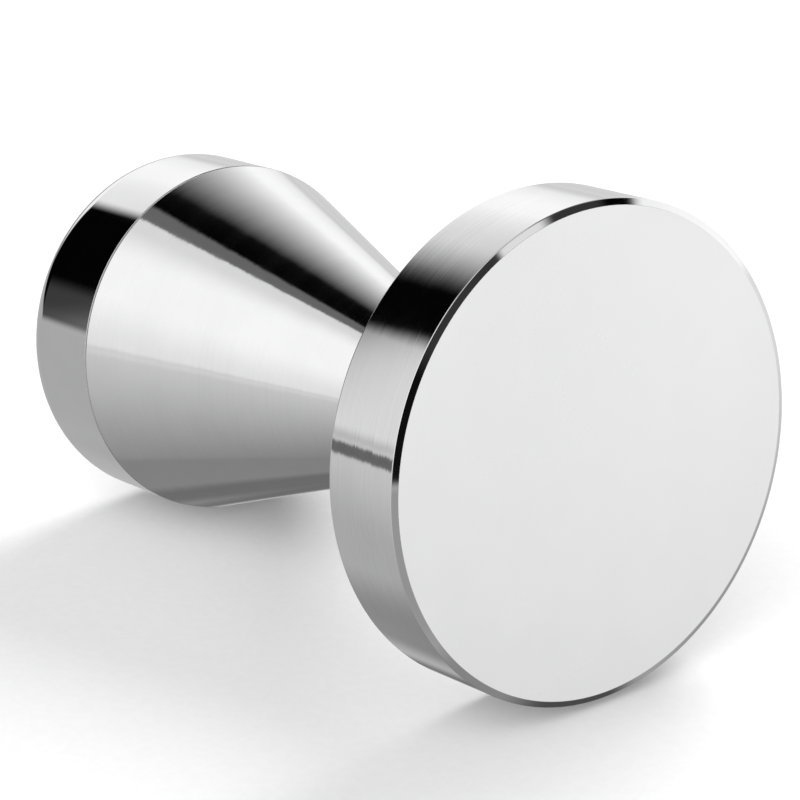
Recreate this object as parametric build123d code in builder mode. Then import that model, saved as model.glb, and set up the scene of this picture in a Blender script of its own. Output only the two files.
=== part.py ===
"""Espresso tamper in stainless steel: a solid base disc and a conical handle that screws onto it.

The tamper stands on its tamping face. The origin is the centre of that face, +Z runs up the
axis to the end of the handle, and all sizes are in millimetres.
"""

from build123d import *
import os
from math import radians, tan

# Base disc
base_radius = 29.0
base_thickness = 11.2
face_chamfer_width = 0.8
face_chamfer_height = 0.3
rim_round = 0.3

# Sealing washer, between the base and the handle's foot
washer_thickness = 0.8
washer_radius = 10.5
washer_hole_radius = 4.5
washer_round = 0.2

# Handle body, from the foot up to the seam with its cap
foot_radius = 11.0
foot_height = 1.8
foot_round = 0.4
flare_height = 3.2
flare_round = 7.0
neck_radius = 8.0
waist_round = 45.0
cone_half_angle = 18.33
grip_radius = 22.25
seam_height = 70.2
seam_round = 0.15

# Bore of the handle body, closed by the cap's spigot
counterbore_depth = 8.0
cavity_radius = 9.0
cavity_floor = 46.0
drill_half_angle = 59

# End cap
total_height = 84.5
cap_edge_round = 4.0
cap_crown = 5.0
cap_recess_radius = 12.0
spigot_radius = 15.0
spigot_length = 6.0
spigot_gap = 0.02
spigot_chamfer = 0.5

# M8 x 1.25 thread, right-handed, shared by the stud and both tapped holes
thread_pitch = 1.25
thread_radius = 4.0
thread_root_radius = 3.233
thread_crest_width = thread_pitch / 8
thread_flank_angle = 30
thread_clearance = 0.1
thread_sink = 0.1
tapped_hole_radius = 3.4
mouth_radius = 4.4

# Joining stud, and the floor of the hole that takes it in the base
stud_bottom = 3.7
stud_length = 20.0
stud_chamfer = 0.6
socket_across_flats = 4.0
socket_depth = 4.0
base_hole_floor = 3.0

# The three helices are in mesh because they start whole turns apart on one line
thread_line_height = 3.6
base_hole_turns = 6.6
stud_first_turn = 1
stud_turns = 14
handle_first_turn = 6
handle_hole_turns = 9.3

# Heights that follow from the sizes above, with the cone's own drop from the seam to the neck
foot_bottom = base_thickness + washer_thickness
foot_top = foot_bottom + foot_height
flare_top = foot_top + flare_height
cone_drop = (grip_radius - neck_radius) / tan(radians(cone_half_angle))
neck_top = seam_height - cone_drop
stud_top = stud_bottom + stud_length
handle_tap_low = foot_bottom - 2 * thread_pitch

os.makedirs("parts", exist_ok=True)


def save(part, name):
    """Label one finished piece and write its STEP file."""
    part.label = name
    export_step(part, f"parts/{name}.step")


def thread_ridge(first_turn, turns, sunk_radius, gap=0.0):
    """Helical ridge of trapezoid section, down to a radius that is sunk in the core or the bore.

    A gap round its flanks and crest makes it the cutter for a tapped hole.
    """
    start = thread_line_height + first_turn * thread_pitch
    depth = thread_radius - sunk_radius
    crest = thread_crest_width / 2 + gap
    root = crest + depth * tan(radians(thread_flank_angle))
    with BuildPart() as ridge:
        with BuildLine() as path:
            Helix(thread_pitch, thread_pitch * turns, thread_radius, center=(0, 0, start))
        with BuildSketch(Plane(path.line @ 0, x_dir=(1, 0, 0), z_dir=path.line % 0)):
            Polygon((gap, -crest), (gap, crest), (-depth, root), (-depth, -root), align=None)
        sweep(path=path.line, is_frenet=True)
    return ridge.part


def tap(first_turn, turns, low, high):
    """Cutter for a tapped hole: the tapping drill between two heights, with a thread round it."""
    with BuildPart() as cutter:
        with BuildSketch(Plane.XY.offset(low)):
            Circle(tapped_hole_radius)
        extrude(amount=high - low)
        add(thread_ridge(first_turn, turns, tapped_hole_radius - thread_sink, thread_clearance))
    return cutter.part


# Base disc: chamfered round the tamping face, tapped from above
with BuildPart() as base_disc:
    Cylinder(base_radius, base_thickness, align=(Align.CENTER, Align.CENTER, Align.MIN))
    fillet(base_disc.faces().sort_by(Axis.Z)[-1].edges(), rim_round)
    tamping_face = base_disc.faces().sort_by(Axis.Z)[0]
    chamfer(tamping_face.edges(), face_chamfer_width, face_chamfer_height, reference=tamping_face)
    with Locations((0, 0, base_thickness)):
        Cone(
            0,
            mouth_radius,
            mouth_radius,
            align=(Align.CENTER, Align.CENTER, Align.MAX),
            mode=Mode.SUBTRACT,
        )
    add(tap(0, base_hole_turns, base_hole_floor, foot_top), mode=Mode.SUBTRACT)
save(base_disc.part, "base_disc")


# Sealing washer: flat nylon ring that lies on the base round the stud
with BuildPart() as seal_washer:
    with BuildSketch(Plane.XY.offset(base_thickness)):
        Circle(washer_radius)
        Circle(washer_hole_radius, mode=Mode.SUBTRACT)
    extrude(amount=washer_thickness)
    fillet(seal_washer.edges().filter_by(GeomType.CIRCLE).group_by(SortBy.RADIUS)[-1], washer_round)
save(seal_washer.part, "seal_washer")


# Handle body: foot, flare, slim neck and straight cone, bored from above and tapped from below
with BuildPart() as handle_body:
    with BuildSketch(Plane.XZ) as profile:
        Polygon(
            (0, foot_bottom),
            (foot_radius, foot_bottom),
            (foot_radius, foot_top),
            (neck_radius, flare_top),
            (neck_radius, neck_top),
            (grip_radius, seam_height),
            (0, seam_height),
            align=None,
        )
        foot_corners = profile.vertices().group_by(Axis.X)[2]
        fillet(foot_corners, foot_round)
        neck_corners = profile.vertices().group_by(Axis.X)[1].sort_by(Axis.Z)
        fillet(neck_corners[0], flare_round)
        waist_corner = profile.vertices().sort_by_distance((neck_radius, 0, neck_top))[0]
        fillet(waist_corner, waist_round)
        grip_corner = profile.vertices().group_by(Axis.X)[-1]
        fillet(grip_corner, seam_round)
    revolve(axis=Axis.Z)
    with Locations((0, 0, seam_height)):
        CounterBoreHole(
            cavity_radius,
            spigot_radius,
            counterbore_depth,
            depth=seam_height - cavity_floor,
        )
    with Locations((0, 0, cavity_floor)):
        Cone(
            0,
            cavity_radius,
            cavity_radius / tan(radians(drill_half_angle)),
            align=(Align.CENTER, Align.CENTER, Align.MAX),
            mode=Mode.SUBTRACT,
        )
    with Locations((0, 0, foot_bottom)):
        Cone(
            mouth_radius,
            0,
            mouth_radius,
            align=(Align.CENTER, Align.CENTER, Align.MIN),
            mode=Mode.SUBTRACT,
        )
    add(tap(handle_first_turn, handle_hole_turns, handle_tap_low, stud_top), mode=Mode.SUBTRACT)
save(handle_body.part, "handle_body")


# End cap: polished band and crown, with a spigot bonded into the handle's bore
with BuildPart() as handle_cap:
    with BuildSketch(Plane.XY.offset(seam_height)):
        Circle(grip_radius)
    extrude(amount=total_height - seam_height)
    fillet(handle_cap.faces().sort_by(Axis.Z)[-1].edges(), cap_edge_round)
    fillet(handle_cap.faces().sort_by(Axis.Z)[0].edges(), seam_round)
    with BuildSketch(Plane.XY.offset(seam_height)):
        Circle(spigot_radius - spigot_gap)
    extrude(amount=-spigot_length)
    chamfer(handle_cap.faces().sort_by(Axis.Z)[0].edges(), spigot_chamfer)
    with Locations(Plane((0, 0, seam_height - spigot_length), z_dir=(0, 0, -1))):
        Hole(cap_recess_radius, depth=total_height - cap_crown - seam_height + spigot_length)
save(handle_cap.part, "handle_cap")


# Joining stud: set screw fixed in the handle, driven by the hexagon socket in its lower end
with BuildPart() as joining_stud:
    with BuildSketch(Plane.XY.offset(stud_bottom)):
        Circle(thread_root_radius)
    extrude(amount=stud_length)
    chamfer(joining_stud.edges().filter_by(GeomType.CIRCLE), stud_chamfer)
    add(thread_ridge(stud_first_turn, stud_turns, thread_root_radius - thread_sink))
    with BuildSketch(Plane.XY.offset(stud_bottom)):
        RegularPolygon(socket_across_flats / 2, 6, major_radius=False)
    extrude(amount=socket_depth, mode=Mode.SUBTRACT)
save(joining_stud.part, "joining_stud")
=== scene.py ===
"""Looks of the espresso tamper: turned, brushed and polished steel, lying on a pale studio floor.

Every length is in metres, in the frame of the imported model: +Z runs up the tamper's axis from the
tamping face. The tamper lies on its side as it would when put down on a counter, so the studio
floor is a steep plane that touches the rim of the base and the edge of the end cap.
"""

from math import acos, atan2, ceil, cos, degrees, radians, sin, sqrt, tan

import bpy
import numpy as np
from mathutils import Matrix, Vector


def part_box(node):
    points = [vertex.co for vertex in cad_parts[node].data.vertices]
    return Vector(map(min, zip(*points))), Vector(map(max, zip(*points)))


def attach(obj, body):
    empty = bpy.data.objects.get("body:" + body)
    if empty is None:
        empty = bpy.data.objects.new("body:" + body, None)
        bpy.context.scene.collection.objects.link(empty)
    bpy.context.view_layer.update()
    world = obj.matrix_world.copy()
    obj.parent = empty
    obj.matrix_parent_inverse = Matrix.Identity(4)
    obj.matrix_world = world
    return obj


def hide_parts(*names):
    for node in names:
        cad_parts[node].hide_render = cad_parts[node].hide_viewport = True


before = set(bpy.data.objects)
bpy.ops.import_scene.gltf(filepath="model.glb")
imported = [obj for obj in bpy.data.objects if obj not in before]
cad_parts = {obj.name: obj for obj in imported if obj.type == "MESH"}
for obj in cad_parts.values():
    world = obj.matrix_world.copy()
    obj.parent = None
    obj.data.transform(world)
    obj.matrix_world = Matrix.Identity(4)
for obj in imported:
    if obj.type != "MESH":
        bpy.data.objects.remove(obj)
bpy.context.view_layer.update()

MM = 0.001

# ---------------------------------------------------------------- sizes of the turned pieces
BASE_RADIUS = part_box("base_disc")[1].x
BASE_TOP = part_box("base_disc")[1].z
FACE_CHAMFER_WIDTH = 0.8 * MM
FACE_CHAMFER_HEIGHT = 0.3 * MM
RIM_ROUND = 0.3 * MM
TINY_ROUND = 0.14 * MM
INNER_ROUND = 0.04 * MM

WASHER_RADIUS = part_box("seal_washer")[1].x
WASHER_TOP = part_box("seal_washer")[1].z
WASHER_HOLE_RADIUS = 4.5 * MM
WASHER_ROUND = 0.2 * MM

FOOT_RADIUS = 11.0 * MM
FOOT_ROUND = 0.4 * MM
FOOT_TOP = WASHER_TOP + 1.8 * MM
FLARE_TOP = FOOT_TOP + 3.2 * MM
FLARE_ROUND = 7.0 * MM
NECK_RADIUS = 8.0 * MM
WAIST_ROUND = 45.0 * MM
CONE_HALF_ANGLE = radians(18.33)
GRIP_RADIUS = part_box("handle_cap")[1].x
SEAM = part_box("handle_body")[1].z
SEAM_ROUND = 0.15 * MM
NECK_TOP = SEAM - (GRIP_RADIUS - NECK_RADIUS) / tan(CONE_HALF_ANGLE)
COUNTERBORE_FLOOR = SEAM - 8.0 * MM
CAVITY_RADIUS = 9.0 * MM
CAVITY_FLOOR = 46.0 * MM
DRILL_HALF_ANGLE = radians(59)

CAP_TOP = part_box("handle_cap")[1].z
CAP_ROUND = 4.0 * MM
CAP_RECESS_RADIUS = 12.0 * MM
CAP_RECESS_TOP = CAP_TOP - 5.0 * MM
SPIGOT_RADIUS = 15.0 * MM
SPIGOT_GAP = 0.02 * MM
SPIGOT_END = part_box("handle_cap")[0].z
SPIGOT_CHAMFER = 0.5 * MM

THREAD_PITCH = 1.25 * MM
THREAD_LINE_HEIGHT = 3.6 * MM
THREAD_CREST = 0.178 * MM
THREAD_FLANK = radians(30)
TAPPED_RADIUS = 3.4 * MM
TAPPED_DEPTH = 0.7 * MM
MOUTH_RADIUS = 4.4 * MM
BASE_HOLE_FLOOR = 3.0 * MM
STUD_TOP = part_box("joining_stud")[1].z
# The groove stops short of the hole's floor, and starts just past its conical mouth.
GROOVE_TO_FLOOR = 0.2 * MM
GROOVE_TO_MOUTH = 1.05 * MM

SEGMENTS = 384
THREAD_ROWS_PER_PITCH = 12
ARC_STEP = radians(9)
# Rounds larger than this get finer steps.
PLAIN_ROUND = 1.0 * MM
ON_AXIS = 1e-9
SAME_RADIUS = 1e-7

# ---------------------------------------------------------------- floor and directions
# The plane touches the base's rim and the cap's rounded edge, on the side away from `SIDE`.
SIDE = Vector((1, -1, 0)).normalized()
REST_REACH = BASE_RADIUS - (GRIP_RADIUS - CAP_ROUND)
REST_LENGTH = CAP_TOP - CAP_ROUND - BASE_TOP
REST_SPAN = sqrt(REST_REACH**2 + REST_LENGTH**2)
REST_ANGLE = acos(CAP_ROUND / REST_SPAN) - atan2(REST_LENGTH, REST_REACH)
FLOOR_UP = SIDE * cos(REST_ANGLE) - Vector((0, 0, 1)) * sin(REST_ANGLE)
FLOOR_LEVEL = FLOOR_UP.dot(-SIDE * BASE_RADIUS + Vector((0, 0, BASE_TOP)))
TABLE_UP = Vector((0, 0, 1))
TABLE_LEVEL = -0.05 * MM
FLOOR_SIZE = 4.0
PAPER_ALBEDO = 0.86
PAPER_SPREAD = 0.008
TABLE_GLOW = 0.55

# ---------------------------------------------------------------- camera
CAMERA_LENS = 139.5
CAMERA_SENSOR = 36
CAMERA_PLACE = Vector((-0.07276, -0.23016, -0.24608))
CAMERA_VIEW = Vector((0.1941, 0.6219, 0.7587)).normalized()
CAMERA_UP = Vector((0.8373, -0.5080, 0.2022)).normalized()

# Directions of the studio round the tamper: azimuth is from straight ahead of the camera to its
# right, and elevation is above the floor.
AHEAD = (CAMERA_VIEW - FLOOR_UP * CAMERA_VIEW.dot(FLOOR_UP)).normalized()
RIGHT = AHEAD.cross(FLOOR_UP)


# ---------------------------------------------------------------- outlines and lathe
def arc_points(before, corner, after, round_radius):
    """Points and normals of a rounded corner, as rows of (r, z, normal r, normal z)."""
    d1 = (corner - before).normalized()
    d2 = (after - corner).normalized()
    cross = d1.x * d2.y - d1.y * d2.x
    turn = atan2(cross, d1.dot(d2))
    reach = round_radius * abs(tan(turn / 2))
    n1 = Vector((d1.y, -d1.x))
    side = 1 if turn > 0 else -1
    centre = corner - d1 * reach - n1 * round_radius * side
    fineness = max(1, sqrt(round_radius / PLAIN_ROUND))
    steps = max(2, ceil(abs(turn) / ARC_STEP * fineness))
    rows = []
    for i in range(steps + 1):
        a = turn * i / steps
        n = Vector((n1.x * cos(a) - n1.y * sin(a), n1.x * sin(a) + n1.y * cos(a)))
        p = centre + n * round_radius * side
        rows.append((p.x, p.y, n.x, n.y))
    return rows


def outline(corners):
    """Rows along an outline given as (r, z, round radius, finish of the run that leaves it).

    It starts and ends on the axis, or closes on itself, and keeps the metal on its left.
    """
    rows, finishes = [], []
    closed = corners[0][0] > 0
    count = len(corners)
    for i, (r, z, round_radius, finish) in enumerate(corners):
        here = Vector((r, z))
        if closed or 0 < i < count - 1:
            before = Vector(corners[i - 1][:2])
            after = Vector(corners[(i + 1) % count][:2])
            points = arc_points(before, here, after, round_radius)
        else:
            neighbour = Vector(corners[1][:2]) if i == 0 else Vector(corners[i - 1][:2])
            along = (neighbour - here if i == 0 else here - neighbour).normalized()
            points = [(r, z, along.y, -along.x)]
        rows += points
        finishes += [corners[i - 1][3] if i else finish] * (len(points) - 1) + [finish]
    return rows, finishes, closed


def thread_depth(z, angle):
    """Depth of the tapped groove, on the right-handed line that all threads share."""
    line = (z - THREAD_LINE_HEIGHT) / THREAD_PITCH - angle / (2 * np.pi)
    off_line = np.abs(line - np.round(line)) * THREAD_PITCH
    flank = TAPPED_DEPTH * tan(THREAD_FLANK)
    return TAPPED_DEPTH * np.clip((THREAD_CREST + flank - off_line) / flank, 0, 1)


def add_groove_rows(rows, finish_of_row, low, high):
    """Split the wall of the tapped bore into rows that the groove can follow.

    Their normals are left at zero, which leaves them to the mesh.
    """
    steps = round((high - low) / THREAD_PITCH * THREAD_ROWS_PER_PITCH)
    at = next(
        i
        for i, (upper, lower) in enumerate(zip(rows, rows[1:]))
        if abs(upper[0] - TAPPED_RADIUS) < SAME_RADIUS
        and abs(lower[0] - TAPPED_RADIUS) < SAME_RADIUS
        and upper[1] - lower[1] > THREAD_PITCH
    )
    grooved = [(TAPPED_RADIUS, high - (high - low) * i / steps, 0, 0) for i in range(steps + 1)]
    rows[at + 1 : at + 1] = grooved
    finish_of_row[at + 1 : at + 1] = [finish_of_row[at]] * len(grooved)


def turn_rows(rows, threaded):
    """Vertices and normals of all rows turned round the axis, and each row's first vertex."""
    angle = np.arange(SEGMENTS) * 2 * np.pi / SEGMENTS
    vertices, normals, starts = [], [], []
    for r, z, nr, nz in rows:
        starts.append(len(vertices))
        if r < ON_AXIS:
            vertices.append((0, 0, z))
            normals.append((0, 0, nz))
            continue
        radius = np.full(SEGMENTS, r)
        if threaded and nr == nz == 0:
            low, high = threaded
            half_pitch = THREAD_PITCH / 2
            ease = min(1, (high - z) / half_pitch, (z - low) / half_pitch)
            radius = radius + ease * thread_depth(z, angle)
        level = np.full(SEGMENTS, z)
        ring = np.stack([radius * np.cos(angle), radius * np.sin(angle), level], 1)
        slope = np.full(SEGMENTS, nz)
        turned = np.stack([nr * np.cos(angle), nr * np.sin(angle), slope], 1)
        vertices += ring.tolist()
        normals += turned.tolist()
    return vertices, normals, starts


def strip(row, next_row, a, b):
    """Faces between two rows that start at vertices a and b, as a fan where one is on the axis."""
    faces = []
    for k in range(SEGMENTS):
        m = (k + 1) % SEGMENTS
        if row[0] < ON_AXIS:
            faces.append((a, b + m, b + k))
        elif next_row[0] < ON_AXIS:
            faces.append((a + k, a + m, b))
        else:
            faces.append((a + k, a + m, b + m, b + k))
    return faces


def lathe(name, corners, finishes, threaded=None):
    """Turned mesh from an outline, with a helical groove in the bore between two heights."""
    rows, finish_of_row, closed = outline(corners)
    if threaded:
        add_groove_rows(rows, finish_of_row, *threaded)
    vertices, normals, starts = turn_rows(rows, threaded)
    faces, face_finish = [], []
    for i in range(len(rows) if closed else len(rows) - 1):
        j = (i + 1) % len(rows)
        faces += strip(rows[i], rows[j], starts[i], starts[j])
        face_finish += [finish_of_row[i]] * SEGMENTS
    mesh = bpy.data.meshes.new(name)
    mesh.from_pydata(vertices, [], faces)
    names = list(dict.fromkeys(face_finish))
    for finish in names:
        mesh.materials.append(finishes[finish])
    mesh.polygons.foreach_set("material_index", [names.index(f) for f in face_finish])
    mesh.polygons.foreach_set("use_smooth", [True] * len(faces))
    mesh.normals_split_custom_set_from_vertices(normals)
    piece = bpy.data.objects.new(name, mesh)
    bpy.context.scene.collection.objects.link(piece)
    return piece


# ---------------------------------------------------------------- node helpers
class Graph:
    """Short calls that add and link shader nodes in one tree."""

    def __init__(self, tree):
        self.tree = tree
        tree.nodes.clear()

    def node(self, kind, inputs=(), **settings):
        made = self.tree.nodes.new("ShaderNode" + kind)
        for name, value in settings.items():
            setattr(made, name, value)
        for key, value in dict(inputs).items():
            if isinstance(value, bpy.types.NodeSocket):
                self.tree.links.new(value, made.inputs[key])
            else:
                made.inputs[key].default_value = value
        return made

    def math(self, operation, a, b=0.0):
        return self.node("Math", {0: a, 1: b}, operation=operation).outputs[0]

    def vector(self, operation, a, b=(0, 0, 0)):
        made = self.node("VectorMath", {0: a, 1: b}, operation=operation)
        return made.outputs["Value" if operation == "DOT_PRODUCT" else "Vector"]

    def ramp(self, value, low, high, to_low=0.0, to_high=1.0, smooth=True):
        """Value of an input carried from one range to another, held at the ends."""
        made = self.node(
            "MapRange",
            {
                "Value": value,
                "From Min": low,
                "From Max": high,
                "To Min": to_low,
                "To Max": to_high,
            },
            interpolation_type="SMOOTHSTEP" if smooth else "LINEAR",
        )
        return made.outputs["Result"]

    def window(self, value, low, high, soft_low, soft_high):
        """One between low and high, with a soft edge of that half width at each."""
        rise = self.ramp(value, low - soft_low, low + soft_low)
        fall = self.ramp(value, high - soft_high, high + soft_high, 1.0, 0.0)
        return self.math("MULTIPLY", rise, fall)

    def blend(self, share, a, b):
        """A number between a and b."""
        made = self.node("Mix", {"Factor": share, "A": a, "B": b}, data_type="FLOAT")
        return made.outputs["Result"]

    def noise(self, place, scale, detail, roughness=0.5, stretch=(1, 1, 1)):
        """Noise over the piece, stretched by different scales along the axes."""
        spread = self.node("Mapping", {"Vector": place, "Scale": stretch}).outputs[0]
        made = self.node(
            "TexNoise", {"Vector": spread, "Scale": scale, "Detail": detail, "Roughness": roughness}
        )
        return made.outputs["Fac"]


# The broad turned lines, against the fine ones
BROAD_ROUND = 0.4
BROAD_LINE = 0.12
# Handling marks, and the faint blue of stainless steel
SMUDGE_SCALE = 130.0
SMUDGE_SHADE = 0.012
STEEL_BLUE = 1.004


def steel(
    name,
    tone,
    roughness,
    roughness_spread,
    drift,
    line_scale,
    round_scale,
    anisotropy,
    mottle,
):
    """Stainless steel turned round the tamper's axis.

    drift is how far, in radians, the fine turned lines lean round the axis, which breaks up the
    edges of a reflection, and mottle is how much the metal's brightness varies from line to line.
    """
    material = bpy.data.materials.new(name)
    material.use_nodes = True
    g = Graph(material.node_tree)
    place = g.node("TexCoord").outputs["Object"]
    fine = (round_scale, round_scale, line_scale)
    coarse = (round_scale * BROAD_ROUND, round_scale * BROAD_ROUND, line_scale * BROAD_LINE)
    lines = g.noise(place, 1.0, 4.0, 0.65, fine)
    broad = g.noise(place, 1.0, 2.0, stretch=coarse)
    smudge = g.noise(place, SMUDGE_SCALE, 5.0, 0.6)
    line_shade = g.ramp(lines, 0.3, 0.7, -mottle, mottle)
    smudge_shade = g.ramp(smudge, 0.3, 0.7, -SMUDGE_SHADE, SMUDGE_SHADE)
    shade = g.math("ADD", line_shade, smudge_shade)
    colour = g.node(
        "CombineColor",
        {
            0: g.math("ADD", shade, tone),
            1: g.math("ADD", shade, tone),
            2: g.math("ADD", shade, tone * STEEL_BLUE),
        },
    ).outputs[0]
    uneven = g.math("ADD", g.math("MULTIPLY", broad, 0.5), g.math("MULTIPLY", smudge, 0.5))
    rough = g.ramp(uneven, 0.35, 0.65, roughness - roughness_spread, roughness + roughness_spread)
    normal = g.node("NewGeometry").outputs["Normal"]
    flat = g.vector("MULTIPLY", place, (1, 1, 0))
    around = g.vector("NORMALIZE", g.vector("CROSS_PRODUCT", (0, 0, 1), flat))
    fine_lean = g.ramp(lines, 0.2, 0.8, -drift, drift, False)
    broad_lean = g.ramp(broad, 0.2, 0.8, -drift / 2, drift / 2, False)
    lean = g.math("ADD", fine_lean, broad_lean)
    leaning = g.node("VectorMath", {0: around, "Scale": lean}, operation="SCALE").outputs[0]
    turned = g.vector("NORMALIZE", g.vector("ADD", normal, leaning))
    shader = g.node(
        "BsdfPrincipled",
        {
            "Base Color": colour,
            "Metallic": 1.0,
            "Roughness": rough,
            "Normal": turned,
            "Anisotropic": anisotropy,
            "Anisotropic Rotation": 0.25,
            "Tangent": g.node("Tangent", direction_type="RADIAL", axis="Z").outputs[0],
        },
    )
    g.node("OutputMaterial", {"Surface": shader.outputs[0]})
    return material


def nylon(name):
    """Natural nylon, faintly milky, with a fine moulded grain."""
    material = bpy.data.materials.new(name)
    material.use_nodes = True
    g = Graph(material.node_tree)
    place = g.node("TexCoord").outputs["Object"]
    cloud = g.noise(place, 260.0, 4.0)
    colour = g.node(
        "Mix",
        {"Factor": cloud, "A": (0.80, 0.79, 0.75, 1), "B": (0.66, 0.65, 0.61, 1)},
        data_type="RGBA",
    )
    grain = g.noise(place, 5200.0, 2.0)
    bump = g.node("Bump", {"Height": grain, "Strength": 0.25, "Distance": 0.00004}).outputs[0]
    shader = g.node(
        "BsdfPrincipled",
        {
            "Base Color": colour.outputs["Result"],
            "Roughness": g.ramp(cloud, 0.3, 0.7, 0.42, 0.55),
            "Normal": bump,
            "IOR": 1.53,
        },
    )
    g.node("OutputMaterial", {"Surface": shader.outputs[0]})
    return material


# name, tone, roughness and its spread, drift, line scale, round scale, anisotropy, mottle
FINISHES = {
    "face": steel("steel_satin_face", 0.72, 0.25, 0.03, 0.006, 60.0, 60.0, 0.0, 0.006),
    "mirror": steel("steel_polished_edge", 0.72, 0.04, 0.012, 0.001, 2000.0, 30.0, 0.0, 0.004),
    "brushed": steel("steel_brushed_rim", 0.72, 0.05, 0.015, 0.009, 5600.0, 90.0, 0.4, 0.018),
    "cone": steel("steel_satin_cone", 0.72, 0.06, 0.015, 0.007, 5200.0, 70.0, 0.3, 0.006),
    "band": steel("steel_polished_band", 0.72, 0.03, 0.008, 0.001, 2600.0, 30.0, 0.0, 0.004),
    "bored": steel("steel_bored", 0.55, 0.30, 0.05, 0.02, 4200.0, 90.0, 0.3, 0.04),
    "thread": steel("steel_thread", 0.50, 0.24, 0.05, 0.01, 5000.0, 200.0, 0.2, 0.04),
    "nylon": nylon("nylon_washer"),
}

# ---------------------------------------------------------------- pieces
base_disc = lathe(
    "tamping_base",
    [
        (0, 0, 0, "face"),
        (BASE_RADIUS - FACE_CHAMFER_WIDTH, 0, TINY_ROUND, "mirror"),
        (BASE_RADIUS, FACE_CHAMFER_HEIGHT, TINY_ROUND, "brushed"),
        (BASE_RADIUS, BASE_TOP, RIM_ROUND, "brushed"),
        (MOUTH_RADIUS, BASE_TOP, TINY_ROUND, "bored"),
        (TAPPED_RADIUS, BASE_TOP - (MOUTH_RADIUS - TAPPED_RADIUS), INNER_ROUND, "thread"),
        (TAPPED_RADIUS, BASE_HOLE_FLOOR, INNER_ROUND, "bored"),
        (0, BASE_HOLE_FLOOR, 0, "bored"),
    ],
    FINISHES,
    (BASE_HOLE_FLOOR + GROOVE_TO_FLOOR, BASE_TOP - GROOVE_TO_MOUTH),
)
seal_washer = lathe(
    "sealing_washer",
    [
        (WASHER_HOLE_RADIUS, BASE_TOP, INNER_ROUND, "nylon"),
        (WASHER_RADIUS, BASE_TOP, WASHER_ROUND, "nylon"),
        (WASHER_RADIUS, WASHER_TOP, WASHER_ROUND, "nylon"),
        (WASHER_HOLE_RADIUS, WASHER_TOP, INNER_ROUND, "nylon"),
    ],
    FINISHES,
)
handle_body = lathe(
    "handle_cone",
    [
        (0, STUD_TOP, 0, "bored"),
        (TAPPED_RADIUS, STUD_TOP, INNER_ROUND, "thread"),
        (TAPPED_RADIUS, WASHER_TOP + MOUTH_RADIUS - TAPPED_RADIUS, INNER_ROUND, "bored"),
        (MOUTH_RADIUS, WASHER_TOP, TINY_ROUND, "bored"),
        (FOOT_RADIUS, WASHER_TOP, FOOT_ROUND, "cone"),
        (FOOT_RADIUS, FOOT_TOP, FOOT_ROUND, "cone"),
        (NECK_RADIUS, FLARE_TOP, FLARE_ROUND, "cone"),
        (NECK_RADIUS, NECK_TOP, WAIST_ROUND, "cone"),
        (GRIP_RADIUS, SEAM, SEAM_ROUND, "bored"),
        (SPIGOT_RADIUS, SEAM, INNER_ROUND, "bored"),
        (SPIGOT_RADIUS, COUNTERBORE_FLOOR, INNER_ROUND, "bored"),
        (CAVITY_RADIUS, COUNTERBORE_FLOOR, INNER_ROUND, "bored"),
        (CAVITY_RADIUS, CAVITY_FLOOR, INNER_ROUND, "bored"),
        (0, CAVITY_FLOOR - CAVITY_RADIUS / tan(DRILL_HALF_ANGLE), 0, "bored"),
    ],
    FINISHES,
    (WASHER_TOP + GROOVE_TO_MOUTH, STUD_TOP - GROOVE_TO_FLOOR),
)
handle_cap = lathe(
    "end_cap",
    [
        (0, CAP_RECESS_TOP, 0, "bored"),
        (CAP_RECESS_RADIUS, CAP_RECESS_TOP, INNER_ROUND, "bored"),
        (CAP_RECESS_RADIUS, SPIGOT_END, INNER_ROUND, "bored"),
        (SPIGOT_RADIUS - SPIGOT_GAP - SPIGOT_CHAMFER, SPIGOT_END, INNER_ROUND, "bored"),
        (SPIGOT_RADIUS - SPIGOT_GAP, SPIGOT_END + SPIGOT_CHAMFER, INNER_ROUND, "bored"),
        (SPIGOT_RADIUS - SPIGOT_GAP, SEAM, INNER_ROUND, "bored"),
        (GRIP_RADIUS, SEAM, SEAM_ROUND, "band"),
        (GRIP_RADIUS, CAP_TOP, CAP_ROUND, "band"),
        (0, CAP_TOP, 0, "band"),
    ],
    FINISHES,
)

for piece, body, node, slot in (
    (base_disc, "base", "base_disc", "base_steel"),
    (seal_washer, "seal", "seal_washer", "washer_nylon"),
    (handle_body, "handle", "handle_body", "handle_steel"),
    (handle_cap, "handle", "handle_cap", "cap_steel"),
):
    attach(piece, body)
    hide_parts(node)

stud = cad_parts["joining_stud"]
stud.data.materials.clear()
stud.data.materials.append(FINISHES["thread"])


# ---------------------------------------------------------------- floors
def floor_material(name, glow):
    """Matt pale paper, seen from its upper side only, with a little light of its own."""
    material = bpy.data.materials.new(name)
    material.use_nodes = True
    g = Graph(material.node_tree)
    place = g.node("TexCoord").outputs["Object"]
    fibre = g.noise(place, 900.0, 2.0)
    value = g.ramp(fibre, 0.3, 0.7, PAPER_ALBEDO - PAPER_SPREAD, PAPER_ALBEDO + PAPER_SPREAD)
    colour = g.node("CombineColor", {0: value, 1: value, 2: value}).outputs[0]
    matt = g.node("BsdfDiffuse", {"Color": colour})
    lit = g.node("Emission", {"Color": colour, "Strength": glow})
    paper = g.node("AddShader", {0: matt.outputs[0], 1: lit.outputs[0]})
    behind = g.node("BsdfTransparent")
    facing = g.node("NewGeometry").outputs["Backfacing"]
    mixed = g.node("MixShader", {0: facing, 1: paper.outputs[0], 2: behind.outputs[0]})
    g.node("OutputMaterial", {"Surface": mixed.outputs[0]})
    return material


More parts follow.
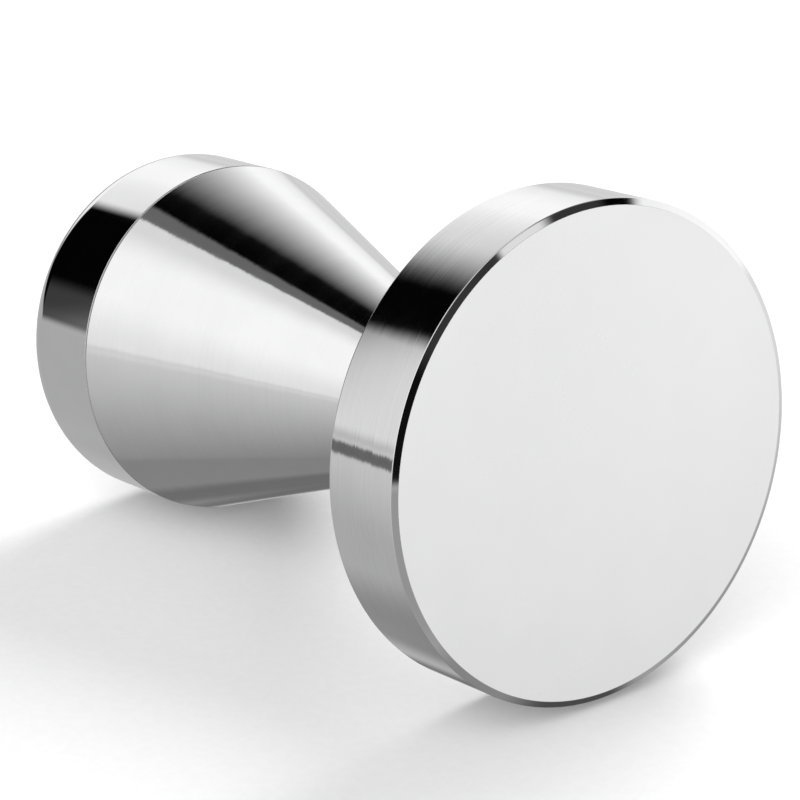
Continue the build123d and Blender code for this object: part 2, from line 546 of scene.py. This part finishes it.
def floor(name, up, level, material):
    """Square plane with a given normal and distance from the origin, not mirrored in the steel."""
    mesh = bpy.data.meshes.new(name)
    half = FLOOR_SIZE / 2
    turn = up.to_track_quat("Z", "Y").to_matrix()
    square = ((-half, -half), (half, -half), (half, half), (-half, half))
    corners = [turn @ Vector((x, y, 0)) + up * level for x, y in square]
    mesh.from_pydata(corners, [], [(0, 1, 2, 3)])
    mesh.materials.append(material)
    plane = bpy.data.objects.new(name, mesh)
    bpy.context.scene.collection.objects.link(plane)
    plane.visible_glossy = False
    plane.visible_diffuse = False
    plane.visible_shadow = False


# The floor that the tamper lies on, and one for it standing upright, which the main view sees
# from below and so looks through.
floor("studio_floor", FLOOR_UP, FLOOR_LEVEL, floor_material("floor_paper", 0.0))
floor("studio_table", TABLE_UP, TABLE_LEVEL, floor_material("table_paper", TABLE_GLOW))

# ---------------------------------------------------------------- studio round the tamper
STEEL_REFLECTANCE = 0.59

# Light that only the matt surfaces get: an all-round one, strongest high up beyond the tamper, and
# a lobe from the camera's side. Each has its direction in degrees and its brightness.
AMBIENT_SIDE = (25, 62)
AMBIENT_LOW = 0.3
AMBIENT_HIGH = 0.6
FILL_SIDE = (-160, 28)
FILL = 3.3

# The softbox that casts the shadow: direction in degrees, distance and width in metres, watts
SOFTBOX_SIDE = (30, 40)
SOFTBOX_DISTANCE = 0.9
SOFTBOX_WIDTH = 0.5
SOFTBOX_POWER = 5.8

# Panels as (tone, azimuths, elevations, softness of the sides, softness of bottom and top), the
# later ones painted over the earlier. Tones are display codes, angles are degrees.
RIGHT_FLOOR_AND_SHADOW_PANELS = (
    # The first two are painted shadow of the tamper on the floor, as the cone reflects it; the last
    # is the floor brighter towards the big softbox
    (104, (-26, 20), (-68, -47), (7, 6), (6, 4)),
    (100, (-8, 20), (-54, -31), (5, 6), (5, 4)),
    (192, (-12, 88), (-24, 3), (9, 3), (8, 4)),
)
LEFT_GREY_FLAG = (58, (-80, -68.3), (-4, 10), (1, 2.5), (2, 3))
LEFT_OVERHEAD_STRIP = (100, (-67, -50), (52, 74), (1.5, 3), (4, 4))
LEFT_FLOOR_LINE = (98, (-92, -75.8), (-9.3, -5.6), (4, 1.2), (0.6, 0.6))
PANELS_BEHIND_CAMERA = (
    (148, (134, 178), (-40, -9), (5, 4), (6, 0.8)),
    (132, (105, 136), (-62, -38), (5, 4), (4, 4)),
    (250, (65, 88), (-2, 14), (3, 3), (2, 3)),
    (3, (89, 160), (4, 34), (1.5, 6), (3, 3)),
    (50, (95, 142), (9, 34), (1.5, 3), (3, 3)),
    (14, (134, 160), (-8, 10), (2, 6), (0.8, 3)),
    (222, (108, 119.5), (17, 30), (2, 1), (3, 3)),
    # Painted contact shadow of the base on the floor, as the bottom chamfer reflects it
    (72, (76, 106), (-62, -43), (5, 8), (4, 3)),
    (190, (96, 179), (42, 78), (5, 4), (5, 5)),
)


def towards(azimuth, elevation):
    """Unit direction of a studio azimuth and elevation in degrees."""
    az, el = radians(azimuth), radians(elevation)
    return (AHEAD * cos(az) + RIGHT * sin(az)) * cos(el) + FLOOR_UP * sin(el)


def radiance(code):
    """Brightness of a panel that polished steel shows as that display code, out of 255."""
    value = code / 255
    linear = value / 12.92 if value <= 0.04045 else ((value + 0.055) / 1.055) ** 2.4
    return linear / STEEL_REFLECTANCE


def studio_world():
    """White softboxes, black flags and a pale floor by direction, as the steel reflects them, with
    the tamper's shadow painted onto that floor.
    """
    world = bpy.data.worlds.new("studio")
    bpy.context.scene.world = world
    world.use_nodes = True
    g = Graph(world.node_tree)
    direction = g.node("TexCoord").outputs["Generated"]
    across = g.vector("DOT_PRODUCT", direction, RIGHT)
    ahead = g.vector("DOT_PRODUCT", direction, AHEAD)
    up = g.vector("DOT_PRODUCT", direction, FLOOR_UP)
    azimuth = g.math("MULTIPLY", g.math("ARCTAN2", across, ahead), degrees(1))
    elevation = g.math("MULTIPLY", g.math("ARCSINE", up), degrees(1))
    climb = g.math("POWER", g.ramp(elevation, -1.0, 24.0, smooth=False), 2.0)
    slant = g.math("SUBTRACT", azimuth, g.math("MULTIPLY", climb, 9.0))

    def panel(under, tone, az, el, soft_az, soft_el, along=azimuth):
        """A panel of one tone, or of a tone made by nodes, painted over what is there."""
        level = tone if isinstance(tone, bpy.types.NodeSocket) else radiance(tone)
        share = g.math(
            "MULTIPLY",
            g.window(along, az[0], az[1], *soft_az),
            g.window(elevation, el[0], el[1], *soft_el),
        )
        return g.blend(share, under, level)

    # Dark ceiling and gaps above, the pale floor below, darkened towards straight below by painted
    # shadow of the tamper on that floor
    shadowed_near_floor = g.ramp(elevation, -49.5, -39.5, radiance(128), radiance(167))
    shadowed_left_floor = g.ramp(elevation, -62.0, -8.0, radiance(134), radiance(196), False)
    leftness = g.ramp(azimuth, -80.0, -72.5, 1.0, 0.0)
    ground = g.blend(leftness, shadowed_near_floor, shadowed_left_floor)
    horizon = g.ramp(elevation, -4.5, -1.0)
    light = g.blend(horizon, ground, radiance(3))

    # Right-hand floor, brighter towards the big softbox, and lower down two dark panels of painted
    # shadow of the tamper on that floor
    for settings in RIGHT_FLOOR_AND_SHADOW_PANELS:
        light = panel(light, *settings)

    # Big softbox behind and to the right, fading towards the ceiling
    rising = g.ramp(elevation, 3.0, 20.0, 0.8, 1.0)
    falling = g.ramp(elevation, 23.5, 59.5, radiance(245), radiance(14), False)
    fade = g.math("MULTIPLY", rising, falling)
    crisp = g.ramp(azimuth, -42.5, -36.0)
    hazy = g.ramp(azimuth, -49.0, -24.0)
    edge = g.blend(g.ramp(elevation, 28.5, 36.0), crisp, hazy)
    above = g.window(elevation, 2, 61, 7, 4)
    left_of_end = g.ramp(azimuth, 86, 90, 1.0, 0.0)
    inside = g.math("MULTIPLY", g.math("MULTIPLY", edge, above), left_of_end)
    light = g.blend(inside, light, fade)

    # Softbox at the left, brighter further round, with a flag beside it
    far_left = g.ramp(elevation, -3.0, 28.0, radiance(224), radiance(247))
    left_tone = g.blend(g.ramp(azimuth, -98.0, -76.0, 1.0, 0.0), radiance(216), far_left)
    light = panel(light, *LEFT_GREY_FLAG)
    light = panel(light, left_tone, (-168, -74.8), (-4, 68), (5, 3.2), (4, 6), slant)
    light = panel(light, *LEFT_OVERHEAD_STRIP)
    light = panel(light, *LEFT_FLOOR_LINE)

    # Round softbox overhead, above all that the lying tamper shows the camera
    light = g.blend(g.ramp(elevation, 68.0, 74.0), light, radiance(226))

    # Behind the camera: a pale reflector in front of the face, with black above it and a painted
    # contact shadow of the base on the floor low down
    sideways = g.ramp(azimuth, 62.0, 86.0, radiance(212), radiance(242))
    downwards = g.ramp(elevation, -36.0, -8.0, 0.45, 1.06)
    reflector = g.math("MULTIPLY", sideways, downwards)
    light = panel(light, reflector, (50, 128), (-44, 4), (6, 6), (6, 4))
    for settings in PANELS_BEHIND_CAMERA:
        light = panel(light, *settings)

    # The camera sees white, glossy rays see the panels, and all others see the matt surfaces' light
    path = g.node("LightPath")
    facing_ambient = g.vector("DOT_PRODUCT", direction, towards(*AMBIENT_SIDE))
    ambient = g.ramp(facing_ambient, -0.1, 1.0, AMBIENT_LOW, AMBIENT_HIGH)
    facing_fill = g.vector("DOT_PRODUCT", direction, towards(*FILL_SIDE))
    ambient = g.math("ADD", ambient, g.ramp(facing_fill, 0.55, 1.0, 0.0, FILL))
    seen = g.blend(path.outputs["Is Camera Ray"], ambient, 1.0)
    shown = g.blend(path.outputs["Is Glossy Ray"], seen, light)
    shine = g.node("Background", {"Strength": shown})
    g.node("OutputWorld", {"Surface": shine.outputs[0]})


studio_world()


def soft_light(name):
    """Round softbox that lights the floor and isn't itself reflected."""
    away = towards(*SOFTBOX_SIDE)
    light = bpy.data.lights.new(name, "AREA")
    light.shape = "DISK"
    light.size = SOFTBOX_WIDTH
    light.energy = SOFTBOX_POWER
    holder = bpy.data.objects.new(name, light)
    bpy.context.scene.collection.objects.link(holder)
    holder.location = Vector((0, 0, CAP_TOP / 2)) + away * SOFTBOX_DISTANCE
    holder.rotation_mode = "QUATERNION"
    holder.rotation_quaternion = away.to_track_quat("Z", "Y")
    holder.visible_glossy = False
    holder.visible_camera = False


soft_light("low_softbox")

# ---------------------------------------------------------------- camera and colour
camera_data = bpy.data.cameras.new("camera")
camera_data.lens = CAMERA_LENS
camera_data.sensor_width = CAMERA_SENSOR
camera_data.clip_start = 0.01
camera_data.clip_end = 20
camera = bpy.data.objects.new("camera", camera_data)
bpy.context.scene.collection.objects.link(camera)
basis = Matrix((CAMERA_VIEW.cross(CAMERA_UP).normalized(), CAMERA_UP, -CAMERA_VIEW)).transposed()
camera.rotation_mode = "QUATERNION"
camera.rotation_quaternion = basis.to_quaternion()
camera.location = CAMERA_PLACE
bpy.context.scene.camera = camera
bpy.context.scene.view_settings.view_transform = "Standard"
